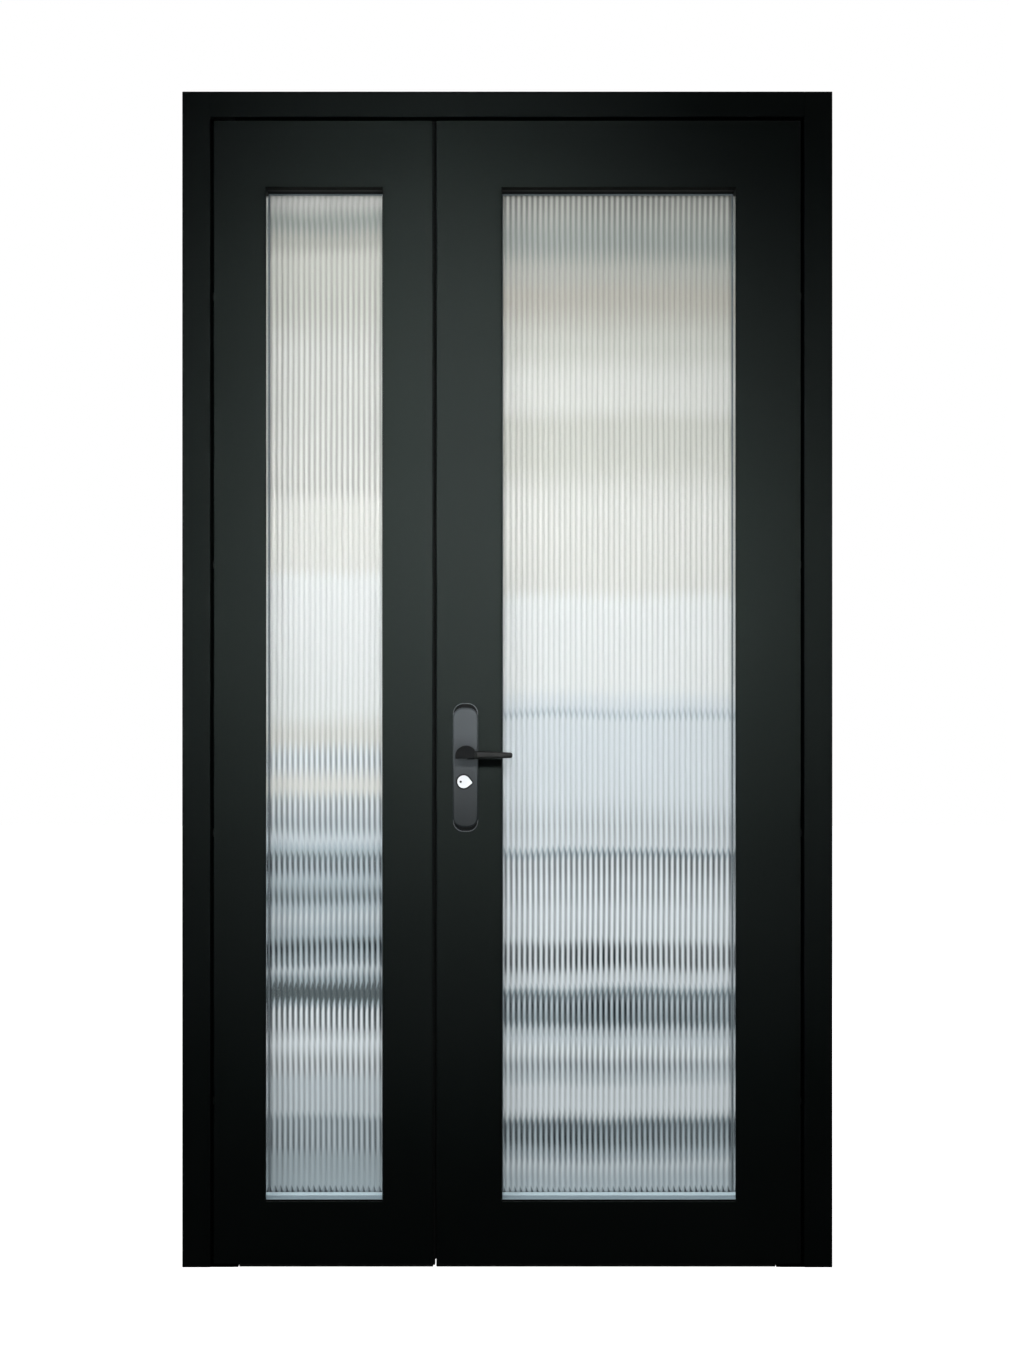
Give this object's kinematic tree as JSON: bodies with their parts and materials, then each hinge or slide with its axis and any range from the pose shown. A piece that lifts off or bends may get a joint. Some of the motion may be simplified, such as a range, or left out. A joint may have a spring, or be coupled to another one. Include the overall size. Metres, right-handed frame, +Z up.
{
  "type": "double door",
  "caption": "Unequal double door of black sheet steel with tall reeded glass panes in its steel frame, with a lever handle on a long plate and a swinging key cover.",
  "frame": {"origin": "on the floor, midway between the jambs and in the middle of the leaves' thickness", "axes": "+X to the right seen from the side the leaves open to, +Y through the doorway away from that side, +Z up"},
  "size_m": [1.2, 0.2, 2.17],
  "materials": {
    "frame_paint": "fine satin powder coat",
    "leaf_paint": "fine satin powder coat",
    "tube_steel": "primed",
    "black_rubber": "matt",
    "reeded_glass": "polished, reeded on one face",
    "bare_steel": "zinc plated",
    "plate_charcoal": "satin",
    "lever_black": "satin",
    "cover_chrome": "polished",
    "cylinder_nickel": "satin nickel"
  },
  "bodies": {
    "frame": {"left_jamb": "frame_paint", "right_jamb": "frame_paint", "head": "frame_paint", "left_jamb_seal": "black_rubber", "right_jamb_seal": "black_rubber", "head_seal": "black_rubber", "left_top_pivot": "bare_steel", "right_top_pivot": "bare_steel", "left_floor_pivot": "bare_steel", "right_floor_pivot": "bare_steel", "bolt_keep": "bare_steel", "left_fixing_sleeves": "bare_steel", "right_fixing_sleeves": "bare_steel"},
    "inactive_leaf": {"inactive_front_skin": "leaf_paint", "inactive_back_skin": "leaf_paint", "inactive_hinge_stile": "tube_steel", "inactive_lower_stile": "tube_steel", "inactive_strike_box": "tube_steel", "inactive_upper_stile": "tube_steel", "inactive_top_rail": "tube_steel", "inactive_bottom_rail": "tube_steel", "inactive_glass": "reeded_glass", "inactive_gaskets": "black_rubber", "inactive_side_beads": "leaf_paint", "inactive_cross_beads": "leaf_paint", "inactive_floor_seal": "black_rubber", "inactive_pivot_blocks": "bare_steel", "meeting_seal": "black_rubber", "strike_plate": "bare_steel", "upper_bolt_guide": "bare_steel", "lower_bolt_guide": "bare_steel"},
    "upper_bolt": {"upper_bolt_rod": "bare_steel"},
    "lower_bolt": {"lower_bolt_rod": "bare_steel"},
    "active_leaf": {"active_front_skin": "leaf_paint", "active_back_skin": "leaf_paint", "active_lock_stile": "tube_steel", "active_hinge_stile": "tube_steel", "active_top_rail": "tube_steel", "active_bottom_rail": "tube_steel", "active_glass": "reeded_glass", "active_gaskets": "black_rubber", "active_side_beads": "leaf_paint", "active_cross_beads": "leaf_paint", "active_floor_seal": "black_rubber", "active_pivot_blocks": "bare_steel", "lock_case": "bare_steel", "cylinder_housing": "cylinder_nickel", "outer_plate": "plate_charcoal", "inner_plate": "plate_charcoal", "plate_screws": "plate_charcoal", "cover_rivet": "cover_chrome"},
    "handle": {"outer_lever": "lever_black", "inner_lever": "lever_black", "spindle": "bare_steel"},
    "latch": {"latch_bolt": "bare_steel"},
    "deadbolt": {"dead_bolt": "bare_steel"},
    "key_cylinder": {"key_plug": "cylinder_nickel", "thumb_turn": "plate_charcoal"},
    "key_cover": {"key_cover": "cover_chrome"}
  },
  "joints": [
    {"name": "inactive_swing", "type": "hinge", "parent": "frame", "child": "inactive_leaf", "pos_m": [-0.526, -0.024, 0], "axis": [0, 0, -1], "range_deg": [0, 110]},
    {"name": "active_swing", "type": "hinge", "parent": "frame", "child": "active_leaf", "pos_m": [0.526, -0.024, 0], "axis": [0, 0, 1], "range_deg": [0, 110]},
    {"name": "handle_turn", "type": "hinge", "parent": "active_leaf", "child": "handle", "pos_m": [-0.077, 0, 0.95], "axis": [0, 1, 0], "range_deg": [0, 45], "stiffness_Nm_per_rad": 1.5, "springref_deg": -20.05},
    {"name": "latch_slide", "type": "slide", "parent": "active_leaf", "child": "latch", "axis": [-1, 0, 0], "range_m": [0, 0.014]},
    {"name": "cylinder_turn", "type": "hinge", "parent": "active_leaf", "child": "key_cylinder", "pos_m": [-0.077, 0, 0.895], "axis": [0, 1, 0], "range_deg": [0, 90]},
    {"name": "deadbolt_slide", "type": "slide", "parent": "active_leaf", "child": "deadbolt", "axis": [-1, 0, 0], "range_m": [0, 0.02]},
    {"name": "cover_swing", "type": "hinge", "parent": "active_leaf", "child": "key_cover", "pos_m": [-0.0668, -0.045, 0.895], "axis": [0, -1, 0], "range_deg": [0, 110]},
    {"name": "upper_bolt_slide", "type": "slide", "parent": "inactive_leaf", "child": "upper_bolt", "axis": [0, 0, 1], "range_m": [0, 0.02]},
    {"name": "lower_bolt_slide", "type": "slide", "parent": "inactive_leaf", "child": "lower_bolt", "axis": [0, 0, -1], "range_m": [0, 0.02]}
  ],
  "couplings": [
    {"joint": "cylinder_turn", "follows": "deadbolt_slide", "rad_per_m": 78.53}
  ]
}
